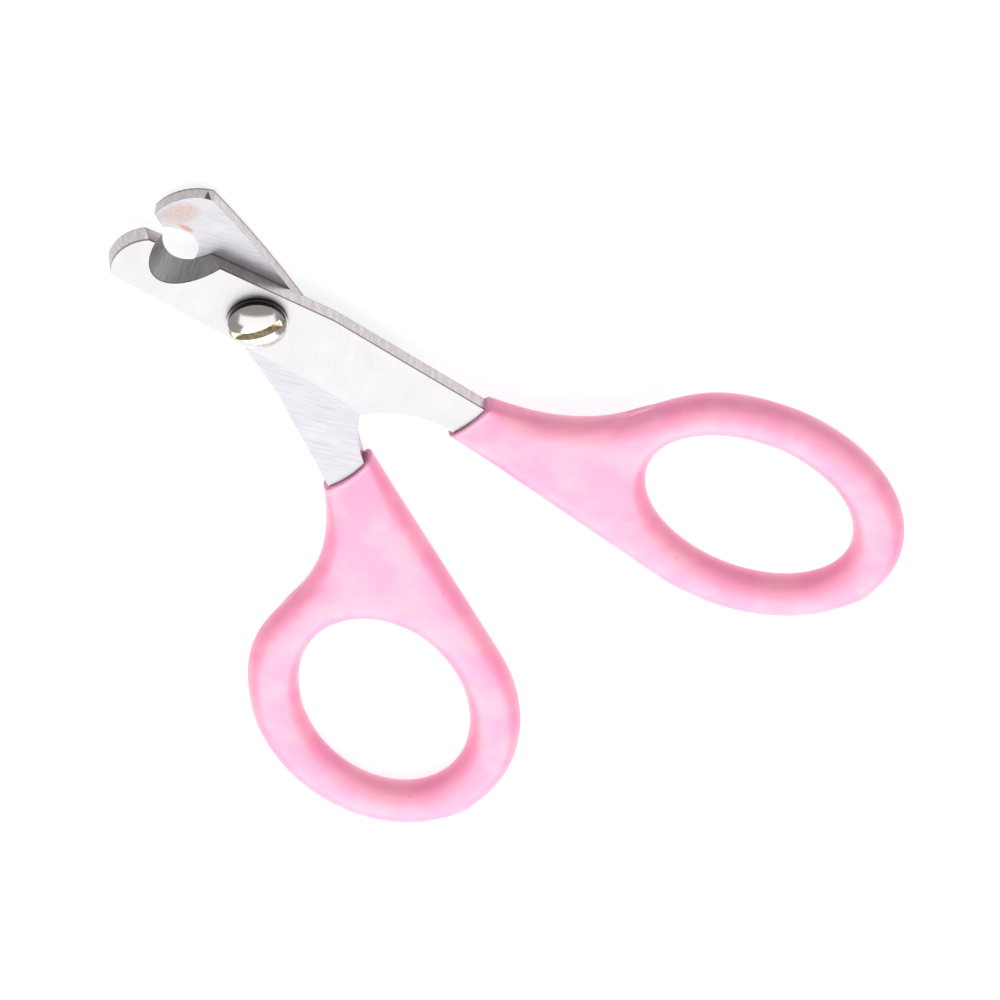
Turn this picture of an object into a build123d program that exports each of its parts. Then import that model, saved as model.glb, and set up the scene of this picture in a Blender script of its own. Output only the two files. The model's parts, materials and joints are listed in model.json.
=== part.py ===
"""Scissor-type claw clipper for small pets, lying flat and part open.

Two plates stamped from steel sheet cross on a slotted screw. Each has a ground
half-round notch near its tip and a finger ring dipped in soft vinyl. Millimetres,
+Z up towards the screw head, +X from the pivot towards the blade tips, Z = 0 at the
surface it lies on, X = Y = 0 at the middle of the whole outline.

Each half is drawn in its own frame and then placed: the pivot at the origin, the
finger ring along -X, the cutting side towards -Y, and Z = 0 at the face that shears,
with +Z outwards. The lower half is the same kind of stamping turned over.
"""
from build123d import *
from dataclasses import dataclass
from math import acos, atan2, cos, degrees, hypot, radians, sin
import os

# ---- sheet and coating ----
PLATE_T = 1.75           # stamped sheet
COAT_T = 0.85            # vinyl on every side of the sheet
COAT_EDGE_R = 1.15       # rounding of the vinyl's edges
EDGE_R_LIMIT = 0.45      # of the coated thickness, past which the two roundings would meet
SHEAR_GAP = 0.05         # between the two plates, and under the washer

# ---- stance ----
REST_ANGLE = 49.3        # between the two handles as it lies

# ---- finger ring, measured on the steel ----
RING_REACH = 56.55       # pivot to ring centre
RING_LONG = 16.6         # half the ring's length
RING_SHORT = 12.65       # half its width
EYE_LONG = 12.85         # half the length of the hole in it
EYE_SHORT = 9.05         # half the width of that hole
SWOOP_ANGLE = 286.0      # where the ring's oval gives way to the shank's hollow side
SWOOP_RING = 16.2        # how long the hollow side keeps the oval's direction
SWOOP_NECK = 18.4        # and how long it keeps the neck's direction
DRIP_ANGLE = 171.0       # the bead that ran off last when the ring was dipped
DRIP_R = 1.5
DRIP_PROUD = 0.3

# ---- blade ends ----
BLADE_REACH = 17.2       # pivot to the end of the blades
TIP_SLOPE = 0.28         # how far the end leans back over the plate's thickness
TIP_LAND = 0.1           # straight part of the end, at the face that shears
FACET_END = 0.65         # small corner knocked off the back of each tip, along the end
FACET_BACK = 0.3         # along the back
FACET_UP = 1.5           # and up the edge between the two
NOTCH_LONG = 4.7         # half sizes of the oval that the cutting edge follows
NOTCH_SHORT = 3.36
GRIND_LONG = 7.8         # and of the wider oval ground on the outer face
GRIND_SHORT = 4.12
GRIND_OFFSET = (-0.56, -0.67)
GRIND_TURN = -8.0        # from the one oval's direction to the other's

# ---- pivot ----
SHOULDER_D = 3.2         # smooth part of the screw, in the upper plate
THREAD_D = 3.0           # in the lower plate
PIVOT_CLEAR = 0.04       # radial running clearance of the upper plate
WASHER_D = 6.3
WASHER_T = 0.35
WASHER_CLEAR = 0.1       # radial, round the shoulder
HEAD_D = 6.0
HEAD_WALL = 0.65
HEAD_CHAMFER = 0.15
DOME_H = 1.15
SLOT_W = 0.95
SLOT_DEPTH = 0.95        # below the crown of the dome
SLOT_TURN = 71.25        # direction of the slot, from +X
TAIL_D = 4.4             # end of the screw, spread over the lower plate
TAIL_H = 0.5
TAIL_EDGE = 0.17         # straight part of its rim
TAIL_FLAT_D = 2.64       # across the part of its dome that is nearly flat


@dataclass
class Stamping:
    """One plate's own outline points, in the half's frame."""

    ring_tilt: float
    neck_in: tuple       # where the grip's straight inner side starts
    waist: tuple
    shoulder: tuple      # the corner behind the pivot
    hump: tuple
    back_bend: tuple
    back_mid: tuple
    tip_back: tuple
    tip_bulge: tuple
    nose: tuple
    heel: tuple          # near end of the notch's mouth
    belly: tuple
    neck_out: tuple      # where the grip's hollow side starts
    neck_slope: float
    notch: tuple         # middle of the cutting edge's oval
    notch_turn: float
    lip_in: tuple        # the vinyl's edge runs through these three
    lip_mid: tuple
    lip_out: tuple


END = BLADE_REACH
UPPER = Stamping(
    ring_tilt=-12.1,
    neck_in=(-25.6, 4.7), waist=(-20.0, 4.4), shoulder=(-15.3, 6.7), hump=(-12.0, 5.6),
    back_bend=(-8.0, 4.85), back_mid=(4.0, 3.03),
    tip_back=(END - 0.7, 1.15), tip_bulge=(END - 0.1, -1.4), nose=(END - 1.9, -4.75),
    heel=(END - 10.2, -4.6), belly=(-7.0, -3.55), neck_out=(-26.6, 0.3), neck_slope=0.04,
    notch=(END - 6.86, -7.29), notch_turn=84.5,
    lip_in=(-24.0, 4.9), lip_mid=(-25.75, 3.0), lip_out=(-26.5, -0.4),
)
LOWER = Stamping(
    ring_tilt=-7.4,
    neck_in=(-25.6, 6.1), waist=(-20.0, 5.85), shoulder=(-15.8, 7.3), hump=(-10.0, 6.25),
    back_bend=(-3.0, 5.25), back_mid=(7.0, 2.25),
    tip_back=(END - 1.4, -1.05), tip_bulge=(END - 0.8, -3.4), nose=(END - 2.1, -7.15),
    heel=(END - 10.2, -5.5), belly=(-11.5, -0.75), neck_out=(-26.6, 1.6), neck_slope=0.11,
    notch=(END - 7.23, -8.48), notch_turn=86.0,
    lip_in=(-22.7, 6.3), lip_mid=(-24.9, 4.5), lip_out=(-25.8, 1.4),
)

# ---- levels above the table ----
LOWER_FACE_Z = COAT_T + PLATE_T
UPPER_FACE_Z = LOWER_FACE_Z + SHEAR_GAP
WASHER_Z = UPPER_FACE_Z + PLATE_T + SHEAR_GAP
HEAD_Z = WASHER_Z + WASHER_T
CROWN_Z = HEAD_Z + HEAD_WALL + DOME_H

RING_CENTRE = Vector(-RING_REACH, 0)

# ---- blanks and cutters, drawn larger than what they make or cut ----
MOUTH_RUN = 4.0          # vinyl drawn past its edge before the edge is cut
MOUTH_FLARE = 0.88       # how much the blank widens over that run
TOOL = 4 * PLATE_T       # reach of a cutter through a plate and its vinyl


def line_angle_to_oval(point, long, short, tilt):
    """Angle on the ring's oval, in degrees, where a line from `point` touches it."""
    local = (Vector(*point) - RING_CENTRE).rotate(Axis.Z, -tilt)
    u, v = local.X / long, local.Y / short
    return degrees(atan2(v, u) + acos(1 / hypot(u, v)))


def handle_edges(half, grow):
    """The open run from the neck's inner side, round the ring, to its outer side."""
    long, short = RING_LONG + grow, RING_SHORT + grow
    neck_in = Vector(*half.neck_in) + Vector(0, grow)
    neck_out = Vector(*half.neck_out) - Vector(0, grow)
    start = line_angle_to_oval(neck_in, long, short, half.ring_tilt)
    oval = EllipticalCenterArc(
        RING_CENTRE, long, short, start, arc_size=SWOOP_ANGLE - start,
        rotation=half.ring_tilt,
    )
    neck_run = Vector(-1, -half.neck_slope).normalized()
    swoop = Bezier(
        oval @ 1,
        (oval @ 1) + (oval % 1) * SWOOP_RING,
        neck_out + neck_run * SWOOP_NECK,
        neck_out,
    )
    return [Line(neck_in, oval @ 0), oval, swoop]


def eye(half, grow):
    """The finger hole, smaller by `grow` all round."""
    oval = Ellipse(EYE_LONG - grow, EYE_SHORT - grow, rotation=half.ring_tilt)
    return Pos(RING_CENTRE) * oval


def handle_face(half):
    """The steel of the ring and shank."""
    edges = handle_edges(half, 0)
    edges.append(Line(half.neck_out, half.neck_in))
    return make_face(edges) - eye(half, 0)


def head_face(half):
    """The steel from the neck to the tip, before the notch is ground."""
    return make_face([
        ThreePointArc(half.neck_in, half.waist, half.shoulder),
        ThreePointArc(half.shoulder, half.hump, half.back_bend),
        ThreePointArc(half.back_bend, half.back_mid, half.tip_back),
        ThreePointArc(half.tip_back, half.tip_bulge, half.nose),
        Line(half.nose, half.heel),
        Line(half.heel, half.belly),
        Line(half.belly, half.neck_out),
        Line(half.neck_out, half.neck_in),
    ])


def lean_tip(half, blank):
    """Grind the end of a blank so that it leans back from the face that shears."""
    outer_face = blank.faces().sort_by(Axis.Z)[-1]
    rim = outer_face.edges().sort_by_distance((*half.tip_bulge, PLATE_T))[0]
    return chamfer(rim, TIP_SLOPE, PLATE_T - TIP_LAND, reference=outer_face)


def notch_cutter(half):
    """The ground notch: its small end is the cutting edge, on the face that shears."""
    place = Pos(*half.notch) * Rot(0, 0, half.notch_turn)
    small = place * Ellipse(NOTCH_LONG, NOTCH_SHORT)
    spread = Pos(*half.notch) * Pos(*GRIND_OFFSET, PLATE_T)
    large = spread * Rot(0, 0, half.notch_turn + GRIND_TURN) * Ellipse(GRIND_LONG, GRIND_SHORT)
    return loft([small, large])


def tip_facet(half):
    """The corner knocked off the back of the tip: a triangle, widest on the shearing face."""
    corner = Vector(*half.tip_back)
    back = (Vector(*half.back_mid) - corner).normalized()
    end_point = corner + (Vector(*half.tip_bulge) - corner).normalized() * FACET_END
    back_point = corner + back * FACET_BACK
    lean = TIP_SLOPE * (FACET_UP - TIP_LAND) / (PLATE_T - TIP_LAND)
    far_point = corner + back * lean + Vector(0, 0, FACET_UP)
    base = back_point - end_point
    facet = Plane(origin=end_point, x_dir=base, z_dir=base.cross(far_point - end_point))
    return facet * Box(TOOL, TOOL, TOOL, align=(Align.CENTER, Align.CENTER, Align.MIN))


def plate(half, bore_r):
    """One stamped plate, from its ring to its tip."""
    flat = handle_face(half) + head_face(half)
    solid = lean_tip(half, extrude(flat, PLATE_T))
    bore = Cylinder(bore_r, TOOL)
    return solid - notch_cutter(half) - tip_facet(half) - bore


def coat_blank(half):
    """The vinyl's outer shape, drawn past its edge and not yet hollow."""
    edges = handle_edges(half, COAT_T)
    neck_in, neck_out = edges[0] @ 0, edges[-1] @ 1
    far_in = neck_in + Vector(MOUTH_RUN, 0)
    far_out = neck_out + Vector(MOUTH_RUN, -MOUTH_FLARE)
    edges += [Line(neck_out, far_out), Line(far_out, far_in), Line(far_in, neck_in)]
    outline = make_face(edges) - eye(half, COAT_T)
    depth = PLATE_T + 2 * COAT_T
    blank = Pos(0, 0, -COAT_T) * extrude(outline, depth)
    rims = blank.edges().group_by(Axis.Z)
    return fillet(rims[0] + rims[-1], min(COAT_EDGE_R, EDGE_R_LIMIT * depth))


def mouth_cutter(half):
    """Everything on the blade's side of the vinyl's curved edge."""
    edge = ThreePointArc(half.lip_in, half.lip_mid, half.lip_out)
    return Pos(edge.arc_center) * Cylinder(edge.radius, 2 * TOOL)


def drip(half):
    """The bead at the ring's far end, where the last of the vinyl ran off."""
    rim = EllipticalCenterArc(
        RING_CENTRE, RING_LONG + COAT_T, RING_SHORT + COAT_T, DRIP_ANGLE, arc_size=1,
        rotation=half.ring_tilt,
    )
    inward = (rim % 0).rotate(Axis.Z, 90)
    middle_level = Vector(0, 0, PLATE_T / 2)
    return Pos((rim @ 0) + inward * (DRIP_R - DRIP_PROUD) + middle_level) * Sphere(DRIP_R)


def grip(half, steel):
    """The dipped vinyl round one ring and shank."""
    shell = coat_blank(half) + drip(half) - mouth_cutter(half)
    return shell - steel


def pivot_screw():
    """Slotted domed screw: it runs through the upper plate and holds in the lower one."""
    r, chamfer_z = HEAD_D / 2, HEAD_Z + HEAD_WALL
    rim = (r - HEAD_CHAMFER, chamfer_z)
    dome_mid_r = rim[0] / 2
    dome_r = (rim[0] ** 2 + DOME_H ** 2) / (2 * DOME_H)
    dome_mid_z = CROWN_Z - dome_r + (dome_r ** 2 - dome_mid_r ** 2) ** 0.5
    head = make_face([
        Line((0, HEAD_Z), (r, HEAD_Z)),
        Line((r, HEAD_Z), (r, chamfer_z - HEAD_CHAMFER)),
        Line((r, chamfer_z - HEAD_CHAMFER), rim),
        ThreePointArc(rim, (dome_mid_r, dome_mid_z), (0, CROWN_Z)),
        Line((0, CROWN_Z), (0, HEAD_Z)),
    ])
    screw = revolve(Plane.XZ * head, Axis.Z)
    slot = Box(2 * HEAD_D, SLOT_W, SLOT_DEPTH, align=(Align.CENTER, Align.CENTER, Align.MIN))
    screw -= Pos(0, 0, CROWN_Z - SLOT_DEPTH) * Rot(0, 0, SLOT_TURN) * slot
    screw += Pos(0, 0, LOWER_FACE_Z) * rod(SHOULDER_D / 2, HEAD_Z - LOWER_FACE_Z)
    screw += Pos(0, 0, COAT_T) * rod(THREAD_D / 2, PLATE_T)
    return screw + screw_tail()


def rod(radius, length):
    """A cylinder that stands on its own origin."""
    return Cylinder(radius, length, align=(Align.CENTER, Align.CENTER, Align.MIN))


def screw_tail():
    """The screw's end, spread into a low dome under the lower plate."""
    r = TAIL_D / 2
    edge_z, low_z = COAT_T - TAIL_EDGE, COAT_T - TAIL_H
    section = make_face([
        Line((0, COAT_T), (r, COAT_T)),
        Line((r, COAT_T), (r, edge_z)),
        Spline((r, edge_z), (TAIL_FLAT_D / 2, low_z), (0, low_z), tangents=[(-1, -2), (-1, 0)]),
        Line((0, low_z), (0, COAT_T)),
    ])
    return revolve(Plane.XZ * section, Axis.Z)


def screw_washer():
    """The plain washer under the screw's head."""
    ring = rod(WASHER_D / 2, WASHER_T) - rod(SHOULDER_D / 2 + WASHER_CLEAR, WASHER_T)
    return Pos(0, 0, WASHER_Z) * ring


def place_upper(piece):
    """Put a piece of the upper half where it lies."""
    return Pos(0, 0, UPPER_FACE_Z) * Rot(0, 0, REST_ANGLE / 2) * piece


def place_lower(piece):
    """Turn a piece of the lower half over, and put it where it lies."""
    return Pos(0, 0, LOWER_FACE_Z) * Rot(0, 0, -REST_ANGLE / 2) * Rot(180, 0, 0) * piece


def build():
    """Every node by name, with the pivot still on the Z axis."""
    upper = plate(UPPER, SHOULDER_D / 2 + PIVOT_CLEAR)
    lower = plate(LOWER, THREAD_D / 2)
    return {
        "upper_blade": place_upper(upper),
        "upper_grip": place_upper(grip(UPPER, upper)),
        "lower_blade": place_lower(lower),
        "lower_grip": place_lower(grip(LOWER, lower)),
        "pivot_screw": pivot_screw(),
        "screw_washer": screw_washer(),
    }


def middle(nodes):
    """The middle of the whole outline, to the nearest micrometre."""
    boxes = [solid.bounding_box() for solid in nodes.values()]
    x = (min(box.min.X for box in boxes) + max(box.max.X for box in boxes)) / 2
    y = (min(box.min.Y for box in boxes) + max(box.max.Y for box in boxes)) / 2
    return Vector(round(x, 3), round(y, 3))


def main():
    nodes = build()
    centre = middle(nodes)
    os.makedirs("parts", exist_ok=True)
    for name, solid in nodes.items():
        export_step(Pos(-centre.X, -centre.Y) * solid, f"parts/{name}.step")
    print(f"pivot axis at X {-centre.X:.3f}, Y {-centre.Y:.3f}")


main()
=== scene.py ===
# %% [markdown]
# # A pair of small claw clippers, dressed around its CAD frame
# The clippers are two plates stamped from steel sheet. They cross on a slotted screw, and
# each ends in a finger ring that was dipped in soft pink vinyl. The CAD frame already
# holds every true size and the hinge. These cells give it its looks: ground and stamped
# steel, a polished screw, the dipped vinyl, and the small bright studio that shows them.
# We work in metres, and anything written in millimetres is multiplied by MM.

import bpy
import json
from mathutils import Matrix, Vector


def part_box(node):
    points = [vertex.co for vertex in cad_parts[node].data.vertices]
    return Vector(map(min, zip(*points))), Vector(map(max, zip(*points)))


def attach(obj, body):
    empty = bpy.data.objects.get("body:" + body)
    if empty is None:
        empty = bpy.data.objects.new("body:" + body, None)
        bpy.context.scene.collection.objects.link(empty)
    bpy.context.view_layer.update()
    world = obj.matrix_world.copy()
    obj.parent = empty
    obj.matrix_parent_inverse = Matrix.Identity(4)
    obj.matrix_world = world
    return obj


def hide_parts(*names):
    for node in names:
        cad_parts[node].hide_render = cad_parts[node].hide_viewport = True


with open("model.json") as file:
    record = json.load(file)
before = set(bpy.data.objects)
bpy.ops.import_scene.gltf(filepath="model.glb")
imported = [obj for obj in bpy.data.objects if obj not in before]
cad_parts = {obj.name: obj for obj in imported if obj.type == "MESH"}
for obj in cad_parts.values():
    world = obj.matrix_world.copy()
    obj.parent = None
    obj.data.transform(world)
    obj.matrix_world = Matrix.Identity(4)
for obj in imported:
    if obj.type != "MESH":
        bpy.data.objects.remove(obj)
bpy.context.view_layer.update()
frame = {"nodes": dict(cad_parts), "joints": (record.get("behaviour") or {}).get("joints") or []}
nodes = frame["nodes"]
print("CAD nodes:", sorted(nodes))

# %% [markdown]
# ## Sizes that come from the frame
# Nothing here is measured twice: the thickness of the sheet and of the vinyl, and the place
# of the screw, are read from the CAD's own boxes, so the looks follow if the CAD changes.

# %% Names used everywhere
import json
from math import acos, atan2, cos, exp, hypot, pi, radians, sin

import bmesh
import bpy
from mathutils import Matrix, Vector

MM = 0.001
PIVOT = Vector(frame["joints"][0]["pos_m"])
UPPER_LOW, UPPER_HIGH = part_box("upper_blade")
LOWER_LOW, LOWER_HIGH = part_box("lower_blade")
PLATE_T = UPPER_HIGH.z - UPPER_LOW.z
COAT_T = LOWER_LOW.z
print("plate", round(PLATE_T / MM, 2), "mm, vinyl", round(COAT_T / MM, 2), "mm")

# %% [markdown]
# ## The camera
# The clippers lie flat, and the camera looks down on the backs of the blades from 47
# degrees above the table. A near camera would make the closer ring larger than the other.
# A product shot avoids that with a long lens from well back, so we stand four and a half
# metres away and choose the focal length that makes the frame 102 mm wide at the clippers.

# %% Camera
VIEW_TILT = radians(42.73)      # away from straight above
UP_HEADING = radians(-37.75)    # the direction on the table that points up in the frame
CAMERA_FAR = 4.5
FRAME_WIDTH = 102.04 * MM
SENSOR = 36.0
ASIDE, BELOW = 24.69 * MM, 24.79 * MM    # from the pivot to the middle of the frame

across_up = Vector((cos(UP_HEADING), sin(UP_HEADING), 0))
to_camera = across_up * sin(VIEW_TILT) + Vector((0, 0, cos(VIEW_TILT)))
frame_up = across_up * cos(VIEW_TILT) - Vector((0, 0, sin(VIEW_TILT)))
frame_right = frame_up.cross(to_camera)
middle = Vector((PIVOT.x, PIVOT.y, UPPER_HIGH.z)) + frame_right * ASIDE - across_up * BELOW

lens = bpy.data.cameras.new("camera")
lens.sensor_width = SENSOR
lens.lens = SENSOR * CAMERA_FAR / FRAME_WIDTH
lens.clip_start, lens.clip_end = 0.5, 20
camera = bpy.data.objects.new("camera", lens)
bpy.context.scene.collection.objects.link(camera)
turn = Matrix((frame_right, frame_up, to_camera)).transposed().to_4x4()
camera.matrix_world = Matrix.Translation(middle + to_camera * CAMERA_FAR) @ turn
bpy.context.scene.camera = camera
print("lens", round(lens.lens), "mm")

# %% [markdown]
# ## The studio
# Polished steel shows its surroundings more than itself, so the lights are shapes to be
# mirrored. One softbox stands where a flat plate throws the camera's gaze: the plates'
# faces turn nearly white. A second one hangs overhead, out of that mirror's way: it shows
# on the dome of the screw and softens the vinyl. A third stands low on the far side and
# keeps the far edges of the rings light. The room behind the camera stays grey, which is
# what the hollow-ground notches and the sides of the plates pick up.

# %% Softboxes
def softbox(name, size, brightness, direction, distance):
    """An area light that faces the clippers, its width across the frame.

    Its brightness is what a mirror would show.
    """
    light = bpy.data.lights.new(name, "AREA")
    light.shape = "RECTANGLE"
    light.size, light.size_y = size
    light.energy = brightness * pi * size[0] * size[1]
    holder = bpy.data.objects.new(name, light)
    bpy.context.scene.collection.objects.link(holder)
    facing = direction.normalized()
    aim = Matrix((frame_right, facing.cross(frame_right), facing)).transposed().to_4x4()
    holder.matrix_world = Matrix.Translation(facing * distance) @ aim
    print(name, round(light.energy, 2), "W")


mirrored = Vector((-to_camera.x, -to_camera.y, to_camera.z))
softbox("key_softbox", (1.05, 0.6), 2.8, mirrored, 0.75)
softbox("top_softbox", (1.9, 0.55), 1.15, Vector((0, 0, 1)), 0.8)
softbox("far_softbox", (1.2, 0.45), 1.5, Vector((0, 0, 0.3)) - across_up, 0.9)

# %% [markdown]
# The table is a light table: a white sheet that glows a little from below. Its glow fills
# the shadows until only a breath of grey is left round the clippers, and it lights the
# lower half of every rounded edge.

# %% Table and room
TABLE_GLOW = 0.78
TABLE_WHITE = 0.42
TABLE_HALF = 1.5                # metres
ROOM_GREY = (0.42, 0.41, 0.42, 1)

sheet = bmesh.new()
bmesh.ops.create_grid(sheet, x_segments=1, y_segments=1, size=TABLE_HALF)
table_mesh = bpy.data.meshes.new("light_table")
sheet.to_mesh(table_mesh)
sheet.free()
table = bpy.data.objects.new("light_table", table_mesh)
bpy.context.scene.collection.objects.link(table)
paper = bpy.data.materials.new("glowing_paper")
paper.use_nodes = True
paper_shader = paper.node_tree.nodes["Principled BSDF"]
paper_shader.inputs["Base Color"].default_value = (TABLE_WHITE, TABLE_WHITE, TABLE_WHITE, 1)
paper_shader.inputs["Roughness"].default_value = 0.9
paper_shader.inputs["Specular IOR Level"].default_value = 0.1
paper_shader.inputs["Emission Color"].default_value = (1, 1, 1, 1)
paper_shader.inputs["Emission Strength"].default_value = TABLE_GLOW
table_mesh.materials.append(paper)

room = bpy.data.worlds.new("room")
room.use_nodes = True
room.node_tree.nodes["Background"].inputs["Color"].default_value = ROOM_GREY
bpy.context.scene.world = room
bpy.context.scene.view_settings.view_transform = "Standard"
print("table at", round(TABLE_GLOW, 2), "glow")

# %% [markdown]
# ## Shader maths in plain Python
# A finish is mostly arithmetic on positions: how far from an edge, how far along a
# scratch. Blender wants a node for every plus sign. The small class below wraps a socket
# and turns `1 - mask * 0.5` into those nodes, so the finishes further down read as sums.

# %% A socket with arithmetic
class Wire:
    """A value in a material's nodes. Sums with it add Math nodes to the same material."""

    def __init__(self, tree, socket):
        self.tree = tree
        self.socket = socket

    def node(self, kind, settings, inputs, output=0):
        """Adds a node: its settings first, then the values or links of its sockets."""
        made = self.tree.nodes.new(kind)
        for name, value in settings.items():
            setattr(made, name, value)
        for name, value in inputs.items():
            if isinstance(value, Wire):
                self.tree.links.new(value.socket, made.inputs[name])
            else:
                made.inputs[name].default_value = value
        return Wire(self.tree, made.outputs[output])

    def sum(self, operation, first, second=0.0):
        return self.node("ShaderNodeMath", {"operation": operation}, {0: first, 1: second})

    def __add__(self, other):
        return self.sum("ADD", self, other)

    def __sub__(self, other):
        return self.sum("SUBTRACT", self, other)

    def __rsub__(self, other):
        return self.sum("SUBTRACT", other, self)

    def __mul__(self, other):
        return self.sum("MULTIPLY", self, other)

    def __truediv__(self, other):
        return self.sum("DIVIDE", self, other)

    def __abs__(self):
        return self.sum("ABSOLUTE", self)

    __radd__ = __add__
    __rmul__ = __mul__

    def step(self, low, high):
        """0 below low, 1 above high, and a soft S between them."""
        return self.node(
            "ShaderNodeMapRange",
            {"interpolation_type": "SMOOTHSTEP"},
            {"Value": self, "From Min": low, "From Max": high},
        )

    def part(self, axis):
        return self.node("ShaderNodeSeparateXYZ", {}, {0: self}, output="XYZ".index(axis))

    def stretched(self, x, y, z):
        """A vector with each axis multiplied: cycles per millimetre for a texture."""
        inputs = {0: self, 1: (x, y, z)}
        return self.node("ShaderNodeVectorMath", {"operation": "MULTIPLY"}, inputs)

    def turned(self, angle):
        return self.node("ShaderNodeMapping", {}, {"Vector": self, "Rotation": (0, 0, angle)})

    def noise(self, detail=2.0, rough=0.5):
        inputs = {"Vector": self, "Scale": 1.0, "Detail": detail, "Roughness": rough}
        return self.node("ShaderNodeTexNoise", {"noise_dimensions": "3D"}, inputs)

    def blend(self, other, amount):
        """This colour, and the other one where amount is 1."""
        return self.node(
            "ShaderNodeMix", {"data_type": "RGBA"}, {0: amount, 6: self, 7: other}, output=2
        )

    def spot(self, x, y, radius_x, radius_y):
        """1 in the middle of a soft oval spot, 0 outside it."""
        u = (self.part("X") - x) / radius_x
        v = (self.part("Y") - y) / radius_y
        return 1 - (u * u + v * v).step(0.15, 1.0)


# %% [markdown]
# Every finish starts the same way: a new material, and a position in millimetres measured
# from a point of the piece, along the piece's own axes. A scratch or a stain can then be
# placed with the same numbers that place a hole. Only a few sockets of the shader change
# over a surface, so one helper links those and sets the others.

# %% Starting a material
def start(name, origin, turn):
    """A new material with its shader, its position in millimetres and its normal.

    The position is measured from `origin` along axes that are turned by `turn`.
    """
    made = bpy.data.materials.new(name)
    made.use_nodes = True
    tree = made.node_tree
    coords = tree.nodes.new("ShaderNodeTexCoord")
    anywhere = Wire(tree, coords.outputs["Object"])
    millimetres = (MM, MM, MM)
    inputs = {"Vector": anywhere, "Location": origin, "Rotation": turn, "Scale": millimetres}
    place = anywhere.node("ShaderNodeMapping", {"vector_type": "TEXTURE"}, inputs)
    return made, tree.nodes["Principled BSDF"], place, Wire(tree, coords.outputs["Normal"])


def colour(wire, red, green, blue):
    """A colour in the same material as `wire`, of numbers or of wires."""
    return wire.node("ShaderNodeCombineColor", {}, {0: red, 1: green, 2: blue})


def feed(shader, **sockets):
    """Links or sets the shader's sockets: base_color=..., roughness=... and so on."""
    for name, value in sockets.items():
        socket = shader.inputs[name.replace("_", " ").title().replace("Ior", "IOR")]
        if isinstance(value, Wire):
            value.tree.links.new(value.socket, socket)
        else:
            socket.default_value = value


def bump(height, distance, strength=1.0):
    """A Bump node. The distance is in millimetres."""
    inputs = {"Strength": strength, "Distance": distance * MM, "Height": height}
    return height.node("ShaderNodeBump", {}, inputs)


print("helpers ready")

# %% [markdown]
# ## Stamped and ground steel
# Each plate has three kinds of surface. Its faces were ground flat on a belt, and carry
# long fine scratches across the blade. Its edges are as the press left them: matt, warm
# grey, with fine streaks through the thickness and a dark burr line where the punch broke
# out. Its notch was cut with a tapered stone, and is darker and finely lined. One material
# can hold all three, because the direction that a surface faces tells them apart.

# %% The plates' own axes
REST_ANGLE = radians(49.3)      # between the two handles
UPPER_PLACE = (PIVOT.x, PIVOT.y, UPPER_LOW.z)
UPPER_TURN = (0, 0, REST_ANGLE / 2)
LOWER_PLACE = (PIVOT.x, PIVOT.y, LOWER_HIGH.z)
LOWER_TURN = (pi, 0, -REST_ANGLE / 2)      # the lower plate lies face down
THICK = PLATE_T / MM
print("handles", round(REST_ANGLE * 180 / pi, 1), "degrees apart")

# %% [markdown]
# The direction of the surface gives three masks: face, edge, and what is left between them,
# the leaning notch. Each kind gets its own colour from stretched noise: long in the direction
# of the grinding, short across it. The colours are then laid over each other by the masks.
# Modelled scratches would need millions of faces, and a picture would show its seams.

# %% Plate finish
UPPER_SCRATCH = radians(75)     # turns each plate's scratches onto X
FACE_SCRATCH = radians(58)
TIP_END = 15.2                  # the leaning end of each blade starts about here
STAMPED_TONE = 0.55             # how light each kind of surface is
GROUND_TONE = 0.38
BURR_LOW, BURR_HIGH = THICK - 0.30, THICK - 0.18
FACE_ROUGH, GROUND_ROUGH, EDGE_ROUGH = 0.45, 0.50, 0.34


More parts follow.
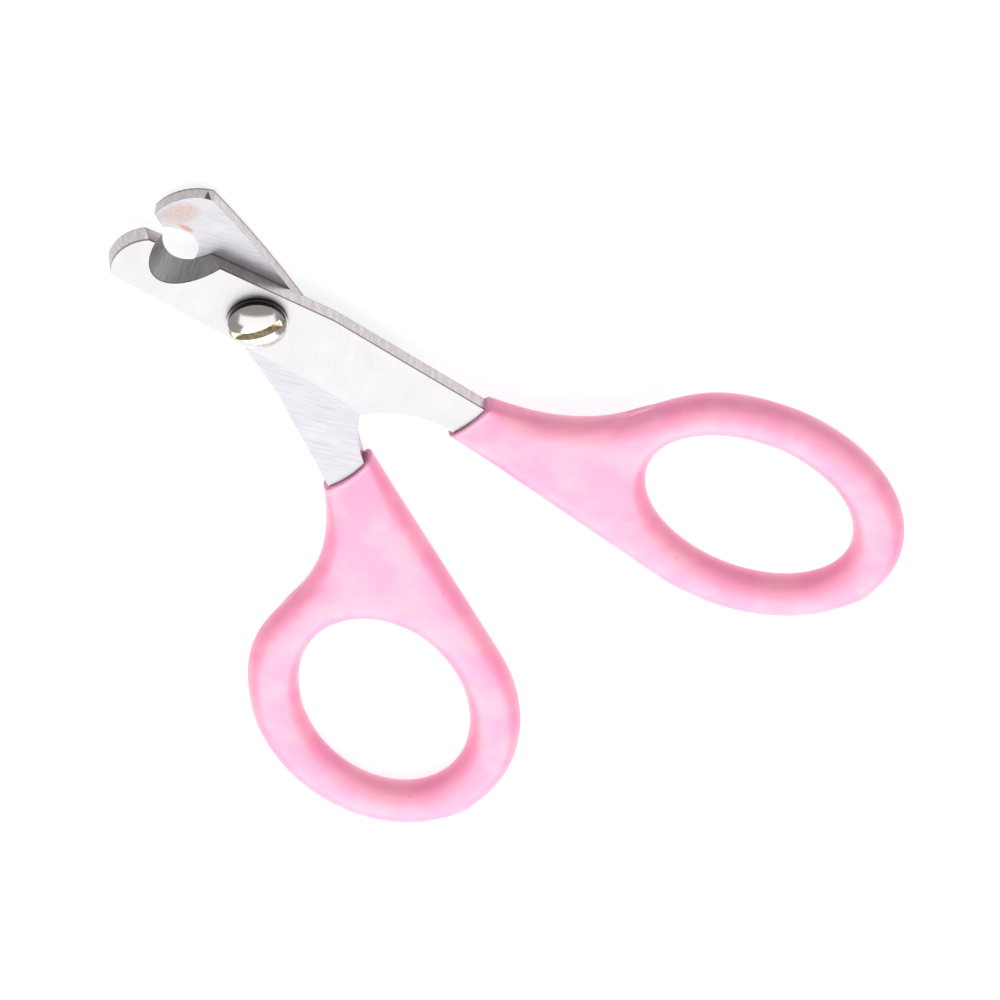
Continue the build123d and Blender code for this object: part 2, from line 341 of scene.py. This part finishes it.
def plate_steel(name, origin, turn, face_tone, blue, scratch_angle, scratch_depth):
    """Steel with ground faces, stamped edges and a hollow-ground notch.

    Gives the material, its shader, the position, the colour and the mask of the faces.
    """
    made, shader, place, normal = start(name, origin, turn)
    upright = abs(normal.part("Z"))
    face = upright.step(0.97, 0.995)
    edge = 1 - upright.step(0.2, 0.3)
    height = place.part("Z")

    lines = place.turned(scratch_angle)
    long_scratches = lines.stretched(0.22, 7.0, 1).noise(3)
    fine_scratches = lines.stretched(0.5, 28.0, 1).noise(2)
    cloud = place.stretched(0.35, 0.35, 0.35).noise(3)
    scratch = long_scratches.step(0.25, 0.75) * 0.5 + fine_scratches.step(0.2, 0.8) * 0.5
    marks = (scratch - 0.5) * scratch_depth
    tone = face_tone + marks + (cloud - 0.5) * 0.05
    face_colour = colour(place, tone, tone * 0.985, tone * blue)

    streaks = place.stretched(2.6, 2.6, 0.5).noise(5, 0.75).step(0.3, 0.7)
    grain = place.stretched(5, 5, 5).noise(3, 0.6).step(0.3, 0.7)
    burr = height.step(BURR_LOW, BURR_HIGH)
    # Painted shade: the foot of each stamped edge, where the two plates meet, is darkened in its
    # colour.
    painted_root_shade = 1 - height.step(0.02, 0.12)
    at_tip = place.part("X").step(TIP_END - 0.2, TIP_END + 0.2)
    darker = 1 - painted_root_shade * 0.4 - at_tip * 0.2
    stamped = (STAMPED_TONE + (streaks - 0.5) * 0.17 + (grain - 0.5) * 0.12) * darker
    rust_line = colour(place, 0.16, 0.10, 0.085)
    warm = colour(place, stamped * 1.07, stamped * 0.99, stamped)
    stamped_colour = warm.blend(rust_line, burr * 0.8)

    rows = place.stretched(7.5, 0.4, 1).noise(4, 0.7).step(0.25, 0.75)
    dark_rim = height.step(THICK - 0.12, THICK - 0.02)
    ground = (GROUND_TONE + (rows - 0.5) * 0.18) * (1 - dark_rim * 0.5)
    ground_colour = colour(place, ground, ground * 0.96, ground * 0.98)

    base = ground_colour.blend(face_colour, face).blend(stamped_colour, edge)
    rough_face = FACE_ROUGH + (scratch - 0.5) * 0.14
    rough_rest = GROUND_ROUGH - edge * (GROUND_ROUGH - EDGE_ROUGH)
    rough = rough_face * face + (1 - face) * rough_rest
    relief = scratch * face * 0.6 + streaks * edge + rows * (1 - face) * (1 - edge)
    feed(shader, metallic=1.0, base_color=base, roughness=rough, normal=bump(relief, 0.006))
    return made, shader, place, base, face


upper_steel, *_ = plate_steel(
    "upper_plate_steel", UPPER_PLACE, UPPER_TURN, face_tone=0.365, blue=1.0,
    scratch_angle=UPPER_SCRATCH, scratch_depth=0.035,
)
print("upper plate finish made")

# %% [markdown]
# The lower plate is seen on the face that slides, and it shows more use: its scratches
# are plain to see, a tan film has dried on near its tip, and a little rust sits on the
# edge of its notch. Each stain is a soft spot broken up by noise, mixed over the steel.

# %% Lower plate, with its stains
lower_steel, shader, place, base, face = plate_steel(
    "lower_plate_steel", LOWER_PLACE, LOWER_TURN, face_tone=0.335, blue=1.04,
    scratch_angle=FACE_SCRATCH, scratch_depth=0.19,
)
RUST_TURN = radians(42.7)       # along the leaning edge of the notch
mottle = place.stretched(2.2, 2.2, 1).noise(4, 0.6)
shear_side = 1 - place.part("Z").step(0.1, 0.3)
film = place.spot(14.6, -4.6, 1.7, 2.6) * (mottle * 1.6 - 0.05) * shear_side * face
at_notch = place.turned(RUST_TURN).spot(12.24, 5.17, 1.15, 0.34)
rust = at_notch * (mottle + 0.4) * shear_side
# The small facet at the tip's corner is painted dark brown: partly painted shade, for the dark
# that this facet mirrors, and partly a burnt corner.
from_chip = abs(place.part("Y") + 1.40) / 0.36 + place.part("Z") / 1.5
facet_shade_and_burn = (1 - from_chip.step(0.8, 1.0)) * place.part("X").step(15.4, 15.6) * (1 - face)
tan = colour(place, 0.30, 0.235, 0.21)
orange = colour(place, 0.31, 0.19, 0.13)
brown = colour(place, 0.10, 0.07, 0.065)
feed(shader, base_color=base.blend(tan, film).blend(orange, rust).blend(brown, facet_shade_and_burn))
print("lower plate finish made")

# %% [markdown]
# ## The screw and its washer
# The screw is nickel plated and polished, so it mirrors the softbox as one bright patch.
# Its sides and the washer's are near black: painted shade, over old oil that has darkened them.
# The same oil has dried golden brown in the slot. Height and the slot's own direction say where
# each of these lies.

# %% Screw finish
SLOT_TURN = radians(71.25)
SLOT_W = 0.95
HEAD_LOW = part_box("screw_washer")[1].z
SCREW_PLACE = (PIVOT.x, PIVOT.y, HEAD_LOW)


def screw_metal(name):
    made, shader, place, normal = start(name, SCREW_PLACE, (0, 0, SLOT_TURN))
    side = 1 - abs(normal.part("Z")).step(0.25, 0.45)
    in_slot = 1 - abs(place.part("Y")).step(SLOT_W / 2 - 0.06, SLOT_W / 2 + 0.03)
    rim = place.part("Z").step(0.52, 0.60)
    wear = place.stretched(3, 3, 3).noise(4, 0.65)
    hair = place.turned(radians(20)).stretched(1.0, 16, 4).noise(2)
    nickel = colour(place, 0.60 + hair * 0.06, 0.58 + hair * 0.06, 0.555 + hair * 0.06)
    # Painted shade: the sides below the rim are coloured near black, partly for old oil and
    # partly for the shade they sit in.
    oil_and_shade = colour(place, 0.035 + wear * 0.02, 0.026 + wear * 0.014, 0.03 + wear * 0.014)
    golden, brown = colour(place, 0.62, 0.49, 0.34), colour(place, 0.12, 0.07, 0.04)
    dried = golden.blend(brown, wear.step(0.5, 0.68))
    base = nickel.blend(oil_and_shade, side * (1 - rim)).blend(dried, in_slot * wear.step(0.28, 0.5) * rim)
    rough = 0.13 + wear * 0.06 + in_slot * 0.2 + side * 0.15
    feed(shader, metallic=1.0, base_color=base, roughness=rough, normal=bump(hair + wear, 0.003))
    return made


screw_finish = screw_metal("nickel_screw")
print("screw finish made")

# %% [markdown]
# The washer lies in the shadow of the head. It is coloured near black, painted shade over old
# oil, and only the upper corner of its rim is light: a painted highlight. A height mask is all
# that takes, because the washer has no detail that is broader than its rim.

# %% Washer finish
washer_finish, shader, place, _ = start("oily_shaded_washer", SCREW_PLACE, (0, 0, 0))
worn = place.stretched(3, 3, 6).noise(4, 0.6)
top_line = place.part("Z").step(-0.07, -0.02)
# Painted shade and a painted highlight: near black for the shade under the head and old oil, and
# a light line on the rim's upper corner.
washer_shade_and_oil = colour(place, 0.03 + worn * 0.02, 0.022 + worn * 0.015, 0.026 + worn * 0.015)
painted_rim_highlight = colour(place, 0.34, 0.32, 0.33)
feed(
    shader,
    metallic=1.0,
    base_color=washer_shade_and_oil.blend(painted_rim_highlight, top_line),
    roughness=0.24 + worn * 0.12,
    normal=bump(worn, 0.004),
)
print("washer finish made")

# %% [markdown]
# ## Dipped vinyl
# The rings were warmed, dipped in liquid vinyl and hung up to drip. The skin that forms
# is a soft, slightly see-through pink with a satin shine. Light that enters it comes out
# a little way off, so a touch of subsurface scattering keeps the thin edges light. Its
# surface is never quite flat: slow waves from the dip, and a faint orange peel.

# %% Vinyl finish
vinyl, shader, place, _ = start("pink_vinyl", (0, 0, 0), (0, 0, 0))
waves = place.stretched(0.22, 0.22, 0.22).noise(2)
peel = place.stretched(2.4, 2.4, 2.4).noise(3)
specks = place.stretched(1.1, 1.1, 1.1).noise(2).step(0.735, 0.76)
milky = colour(place, 0.90, 0.345, 0.48)
deep = colour(place, 0.88, 0.27, 0.46)
dust = colour(place, 0.55, 0.16, 0.22)
groove = place.node("ShaderNodeAttribute", {"attribute_name": "groove"}, {}, output=2)
# Painted shade: the groove by the steel is coloured dark red-brown for the shade in it, with a
# little real grime.
groove_shade_and_grime = colour(place, 0.16, 0.035, 0.045)
skin = milky.blend(deep, waves.step(0.35, 0.65))
feed(
    shader,
    base_color=skin.blend(dust, specks * 0.35).blend(groove_shade_and_grime, groove),
    roughness=0.38 + (waves - 0.5) * 0.12 + (peel - 0.5) * 0.06,
    normal=bump(waves * 3 + peel * 0.4, 0.02, 0.5),
    ior=1.65,
    subsurface_weight=0.2,
    subsurface_radius=(1.0, 0.35, 0.35),
    subsurface_scale=1.2 * MM,
    coat_weight=0.35,
    coat_roughness=0.28,
)
print("vinyl finish made")

# %% [markdown]
# ## The dipped grips
# A grip is the ring, the flared shank and a thin lip that closes round the steel. The CAD
# solid has its true outline with square-cut lips, so we replace it with a softer mesh of
# the same outline. It could be sculpted or remeshed, but a clean quad cage keeps smooth
# highlights: lay out one flat sheet of quads, give it the vinyl's full thickness, bevel
# the rims, roll the lip in, and let a Subdivision Surface finish it.

# %% Sizes of a grip, in its plate's own axes
RING_REACH = 56.55 * MM
RING_LONG = 16.6 * MM + COAT_T
RING_SHORT = 12.65 * MM + COAT_T
EYE_LONG = 12.85 * MM - COAT_T
EYE_SHORT = 9.05 * MM - COAT_T
SWOOP_ANGLE = radians(286 - 360)
SWOOP_RING = 16.2 * MM          # how long the hollow side keeps the ring's direction
SWOOP_NECK = 18.4 * MM          # and how long it keeps the neck's
DRIP_ANGLE = radians(171)
DRIP_PROUD = 0.28 * MM
DRIP_WIDE = radians(4.5)
RIM_ROUND = 1.9 * MM            # how far in from an edge the section is round
CROWN_WIDE = 2.7 * MM           # from there it only rises a little more
CROWN_SHARE = 0.34              # this share of the thickness
LIP_THIN = 0.42                 # share of the vinyl's thickness left at the lip
LIP_SQUARE = 0.42               # share of the rim's rounding left there
LIP_RUN = 5 * MM                # over which it thins
LIP_GAP = 0.14 * MM             # dark line between the lip and the steel
RING_CENTRE = Vector((-RING_REACH, 0, 0))


def on_oval(angle, long, short, tilt):
    """A point of an oval round the ring's centre."""
    flat = Vector((long * cos(angle), short * sin(angle), 0))
    return RING_CENTRE + Matrix.Rotation(tilt, 3, "Z") @ flat


def drip(angle):
    """How far the last drop stands out of the ring's outline at an angle."""
    away = (angle - DRIP_ANGLE + pi) % (2 * pi) - pi
    return DRIP_PROUD * exp(-(away / DRIP_WIDE) ** 2)


def touch_angle(point, tilt):
    """Where a straight line from a point touches the ring's outer oval."""
    local = Matrix.Rotation(-tilt, 3, "Z") @ (point - RING_CENTRE)
    u, v = local.x / RING_LONG, local.y / RING_SHORT
    return atan2(v, u) + acos(1 / hypot(u, v))


def cubic(a, b, c, d, t):
    s = 1 - t
    return a * s ** 3 + b * (3 * s * s * t) + c * (3 * s * t * t) + d * t ** 3


print("ring", round(2 * RING_LONG / MM, 1), "by", round(2 * RING_SHORT / MM, 1), "mm outside")

# %% [markdown]
# One side of a grip runs straight from the lip and touches the ring. The other side is
# hollow: it leaves the ring along the ring's own direction and bends into the neck, which a
# cubic curve does with four points. The quads have to change from a ring to a shank
# somewhere, and they do it along an arch round the hole, far from any edge.

# %% The outline of a grip
ARCH_IN, ARCH_OUT = 0.34, 0.46  # where the shank's quads take over from the ring's
IN_STEPS, FAR_STEPS, OUT_STEPS = 5, 40, 6
SHANK_ROWS = 8


def both_ways(half):
    """Shares from 0 to 1/2, carried on to 1 as in a mirror."""
    return half + [1 - share for share in reversed(half[:-1])]


# Rows of quads lie close together near an edge, where the section is round.
RING_SHARES = both_ways([0, 0.023, 0.087, 0.19, 0.34, 0.5])
ARCH_SHARES = both_ways([0, 0.006, 0.022, 0.05, 0.09, 0.16, 0.26, 0.38, 0.5])
MOUTH_SHARES = both_ways([0, 0.02, 0.074, 0.164, 0.28, 0.36, 0.41, 0.455, 0.5])


def polar(place, tilt):
    """A point as an angle on the ring's oval and a share of its size."""
    local = Matrix.Rotation(-tilt, 3, "Z") @ (place - RING_CENTRE)
    u, v = local.x / RING_LONG, local.y / RING_SHORT
    return atan2(v, u), hypot(u, v)


class Outline:
    """The straight side, the ring and the hollow side of one grip."""

    def __init__(self, tilt, neck_out, slope, mouth_in, mouth_middle, mouth_out):
        self.tilt = tilt
        self.touch = touch_angle(mouth_in, tilt)
        self.straight = (on_oval(self.touch, RING_LONG, RING_SHORT, tilt), mouth_in)
        leaves = on_oval(SWOOP_ANGLE, RING_LONG, RING_SHORT, tilt)
        just_past = on_oval(SWOOP_ANGLE + 0.01, RING_LONG, RING_SHORT, tilt)
        heading = (just_past - leaves).normalized()
        neck_run = Vector((-1, -slope, 0)).normalized()
        bends = neck_out + neck_run * SWOOP_NECK
        self.hollow = (leaves, leaves + heading * SWOOP_RING, bends, mouth_out)
        handles = [end.lerp(mouth_middle, 2 / 3) for end in (mouth_out, mouth_in)]
        self.mouth = (mouth_out, *handles, mouth_in)

    def arch(self, u):
        """The line round the hole where the ring's quads end, from the hollow side over."""
        angle_out, size_out = polar(self.side_out(0), self.tilt)
        angle_in, size_in = polar(self.side_in(0), self.tilt)
        angle = angle_out + (angle_in - angle_out) * u
        on_ring = on_oval(angle, RING_LONG, RING_SHORT, self.tilt)
        return RING_CENTRE.lerp(on_ring, size_out + (size_in - size_out) * u)

    def side_out(self, t):
        return cubic(*self.hollow, ARCH_OUT + (1 - ARCH_OUT) * t)

    def side_in(self, t):
        return self.straight[0].lerp(self.straight[1], ARCH_IN + (1 - ARCH_IN) * t)

    def shank(self, u, t):
        """A point of the shank: u goes across it and t goes from the arch to the mouth."""
        sides = self.side_out(t).lerp(self.side_in(t), u)
        ends = self.arch(u).lerp(cubic(*self.mouth, u), t)
        start, end = self.arch(0).lerp(self.arch(1), u), self.mouth[0].lerp(self.mouth[3], u)
        return sides + ends - start.lerp(end, t)

    def ring(self):
        """The points round the ring's quads: arch, straight side, far arc, hollow side."""
        points = [self.arch(share) for share in ARCH_SHARES[:-1]]
        touches, ends = self.straight
        points += [touches.lerp(ends, ARCH_IN * (1 - i / IN_STEPS)) for i in range(IN_STEPS)]
        sweep = 2 * pi + SWOOP_ANGLE - self.touch
        for i in range(FAR_STEPS):
            angle = self.touch + sweep * i / FAR_STEPS
            long, short = RING_LONG + drip(angle), RING_SHORT + drip(angle)
            points.append(on_oval(angle, long, short, self.tilt))
        return points + [cubic(*self.hollow, ARCH_OUT * i / OUT_STEPS) for i in range(OUT_STEPS)]


print("outline helpers ready")

# %% [markdown]
# The sheet starts as a circle of vertices round the hole. The operator that extrudes edges
# gives a fresh row each time, and we move the row to where it belongs, out to the rim. The
# shank grows in the same way from the part of the last row that lies on the arch.

# %% The flat sheet: hole, ring and shank
def grown_row(shape, row):
    """Extrudes a chain of vertices by its edges, and gives the new chain in order."""
    chain = set(row)
    edges = {e for v in row for e in v.link_edges if e.other_vert(v) in chain}
    made = bmesh.ops.extrude_edge_only(shape, edges=list(edges))["geom"]
    fresh = {item for item in made if isinstance(item, bmesh.types.BMVert)}
    return [next(e.other_vert(v) for e in v.link_edges if e.other_vert(v) in fresh) for v in row]


def grip_sheet(outline):
    """Flat quads with the grip's outline, and the vertices along its mouth."""
    shape = bmesh.new()
    outer = outline.ring()
    inner = [on_oval(polar(p, outline.tilt)[0], EYE_LONG, EYE_SHORT, outline.tilt) for p in outer]
    row = bmesh.ops.create_circle(shape, segments=len(outer), radius=1)["verts"]
    for share in RING_SHARES:
        if share:
            row = grown_row(shape, row)
        for vert, near, far in zip(row, inner, outer):
            vert.co = near.lerp(far, share)
    row = row[: len(ARCH_SHARES)]
    for step in range(1, SHANK_ROWS + 1):
        t = step / SHANK_ROWS
        row = grown_row(shape, row)
        for vert, at_arch, at_mouth in zip(row, ARCH_SHARES, MOUTH_SHARES):
            vert.co = outline.shank(at_arch + (at_mouth - at_arch) * t, t)
    return shape, row


print("ring shares", RING_SHARES)

# %% [markdown]
# Dipped vinyl has no flat faces. Its section is round at the rims and then rises only a
# little to its middle. So the sheet is extruded once, and each vertex gets the height that
# the section has at its distance from the nearest edge. Towards the lip the skin thins and
# follows the steel closely.

# %% From the sheet to a rounded skin
def from_edge(place, edge):
    """The distance from a point to an edge of the sheet."""
    a, b = edge
    t = max(0.0, min(1.0, (place - a).dot(b - a) / (b - a).length_squared))
    return (place - a.lerp(b, t)).length


def spot_key(vert):
    """The same for a vertex and for its copy above or below it."""
    return round(vert.co.x, 7), round(vert.co.y, 7)


def swell(shape, row):
    """Gives the sheet its section, so that it becomes a closed skin round the steel.

    The faces of its mouth, where the steel comes out, are marked with 1.
    """
    ends = {spot_key(v) for v in row}
    mouth = set(row)
    lip = [(a.co.copy(), b.co.copy()) for a, b in zip(row, row[1:])]
    borders = [
        (e.verts[0].co.copy(), e.verts[1].co.copy())
        for e in shape.edges
        if len(e.link_faces) == 1 and not mouth.issuperset(e.verts)
    ]
    heights = {}
    for vert in shape.verts:
        inland = min(from_edge(vert.co, edge) for edge in borders)
        to_lip = min(1.0, min(from_edge(vert.co, edge) for edge in lip) / LIP_RUN)
        coat = COAT_T * (LIP_THIN + (1 - LIP_THIN) * sin(to_lip * pi / 2))
        heights[spot_key(vert)] = (PLATE_T / 2 + coat) * section(inland, to_lip)
    made = bmesh.ops.extrude_face_region(shape, geom=shape.faces[:])["geom"]
    top = {item for item in made if isinstance(item, bmesh.types.BMVert)}
    for vert in shape.verts:
        height = heights[spot_key(vert)]
        vert.co.z = PLATE_T / 2 + (height if vert in top else -height)
    for face in shape.faces:
        face.material_index = int(all(spot_key(v) in ends for v in face.verts))
    bmesh.ops.remove_doubles(shape, verts=shape.verts[:], dist=0.001 * MM)
    bmesh.ops.recalc_face_normals(shape, faces=shape.faces[:])


def section(depth, plump):
    """The share of the full thickness at a depth from the edge: a rim and a low crown.

    Plump is 1 on the ring and falls to 0 at the lip, where the vinyl hugs the steel.
    """
    rim_round = RIM_ROUND * (LIP_SQUARE + (1 - LIP_SQUARE) * plump)
    rim = (1 - max(0.0, 1 - depth / rim_round) ** 2) ** 0.5
    crown = 1 - max(0.0, 1 - depth / CROWN_WIDE) ** 2
    return rim + (crown - rim) * CROWN_SHARE * plump


print("a rim is round over", round(RIM_ROUND / MM, 1), "mm")

# %% [markdown]
# Where the vinyl ends it rolls over and closes on the steel, with a thin dark line between
# them. The mouth's faces are extruded a few times: first round the roll, drawn in to the
# steel's own section, then back into the piece, which makes the groove. An attribute marks
# the groove's vertices, and the finish darkens them: painted shade in the groove, with a
# little grime.

# %% Rolling the lip in
LIP_ROLL = 0.28 * MM
LIP_STEPS = 4
POCKET = 0.9 * MM               # how deep the groove beside the steel goes


def roll_lip(shape, steel_in, steel_out):
    """Draws the mouth in to the steel's own section, then sinks a groove round it."""
    home = shape.verts.layers.float_vector.new("home")
    groove = shape.verts.layers.float.new("groove")
    faces = [f for f in shape.faces if f.material_index == 1]
    verts = list({v for f in faces for v in f.verts})
    for vert in verts:
        vert[home] = vert.co
    across = (steel_in - steel_out).normalized()
    outward = Vector((across.y, -across.x, 0))
    spans = [v.co.dot(across) for v in verts]
    centre, half_wide = (max(spans) + min(spans)) / 2, (max(spans) - min(spans)) / 2
    steel_centre = (steel_in + steel_out).dot(across) / 2
    steel_half = (steel_in - steel_out).length / 2 + LIP_GAP
    level = PLATE_T / 2

    def drawn_in(co):
        """Where a point of the rim would lie on the steel's section, a gap away from it."""
        p = (co.dot(across) - centre) / half_wide
        q = (co.z - level) / (level + COAT_T * LIP_THIN)
        reach = max(abs(p), abs(q))
        slide = steel_centre + p / reach * steel_half - co.dot(across)
        return co + across * slide + Vector((0, 0, level + q / reach * (level + LIP_GAP) - co.z))

    turns = [pi / 2 * i / LIP_STEPS for i in range(1, LIP_STEPS + 1)]
    stages = [(LIP_ROLL * sin(a), 1 - cos(a)) for a in turns]
    stages += [(LIP_ROLL - POCKET / 8, 1), (LIP_ROLL - POCKET, 1)]
    for advance, share in stages:
        made = bmesh.ops.extrude_face_region(shape, geom=faces)["geom"]
        faces = [item for item in made if isinstance(item, bmesh.types.BMFace)]
        for vert in [item for item in made if isinstance(item, bmesh.types.BMVert)]:
            start_point = Vector(vert[home])
            vert.co = start_point.lerp(drawn_in(start_point), share) + outward * advance
            vert[groove] = float(advance < 0)


print("grip helpers ready")

# %% [markdown]
# Both grips come from the same helpers. Their numbers differ a little, because each was
# dipped and hung on its own: the ring's tilt, the run of the neck and the slant of the lip.
# Each is drawn in its plate's axes, laid where the plate lies, and told which body it rides
# on and which CAD piece it stands in for.

# %% The two grips
SMOOTH_LEVELS = 2


def finished_piece(name, shape, body, replaced, material):
    """Turns a bmesh into a named piece that rides on a body in place of a CAD node."""
    mesh = bpy.data.meshes.new(name)
    for face in shape.faces:
        face.material_index = 0
        face.smooth = True
    shape.to_mesh(mesh)
    shape.free()
    mesh.materials.append(material)
    piece = bpy.data.objects.new(name, mesh)
    bpy.context.scene.collection.objects.link(piece)
    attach(piece, body)
    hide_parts(replaced)
    return piece


def grip(name, body, replaced, place, turn, tilt, neck_out, slope, mouth, steel):
    """One dipped grip, drawn in its plate's axes and then laid where the plate lies."""
    outline = Outline(radians(tilt), point(neck_out), slope, *map(point, mouth))
    shape, row = grip_sheet(outline)
    swell(shape, row)
    roll_lip(shape, *map(point, steel))
    bmesh.ops.recalc_face_normals(shape, faces=shape.faces[:])
    turned = Matrix.Rotation(turn[2], 4, "Z") @ Matrix.Rotation(turn[0], 4, "X")
    lay = Matrix.Translation(place) @ turned
    bmesh.ops.transform(shape, matrix=lay, verts=shape.verts[:])
    piece = finished_piece(name, shape, body, replaced, vinyl)
    smooth = piece.modifiers.new("smooth", "SUBSURF")
    smooth.levels = smooth.render_levels = SMOOTH_LEVELS
    print(name, len(piece.data.polygons), "cage faces")
    return piece


def point(pair):
    return Vector((pair[0] * MM, pair[1] * MM, 0))


grip(
    "upper_dipped_grip", "upper_half", "upper_grip", UPPER_PLACE, UPPER_TURN, tilt=-12.1,
    neck_out=(-26.6, -0.55), slope=0.04,
    mouth=((-24.7, 5.35), (-26.1, 2.9), (-26.8, -0.55)), steel=((-24.7, 4.6), (-26.8, 0.3)),
)
grip(
    "lower_dipped_grip", "lower_half", "lower_grip", LOWER_PLACE, LOWER_TURN, tilt=-7.4,
    neck_out=(-26.6, 0.75), slope=0.11,
    mouth=((-22.8, 6.65), (-25.2, 4.4), (-26.2, 0.75)), steel=((-22.8, 5.9), (-26.2, 1.6)),
)

# %% [markdown]
# ## The CAD's own pieces
# The blades, the screw and the washer already have their true shape, down to the ground
# notch and the slot. They only need their finishes, so their meshes stay as they are.

# %% Dress the CAD's own pieces
for name, finish in {
    "upper_blade": upper_steel,
    "lower_blade": lower_steel,
    "pivot_screw": screw_finish,
    "screw_washer": washer_finish,
}.items():
    nodes[name].data.materials.clear()
    nodes[name].data.materials.append(finish)
    print(name, "wears", finish.name)
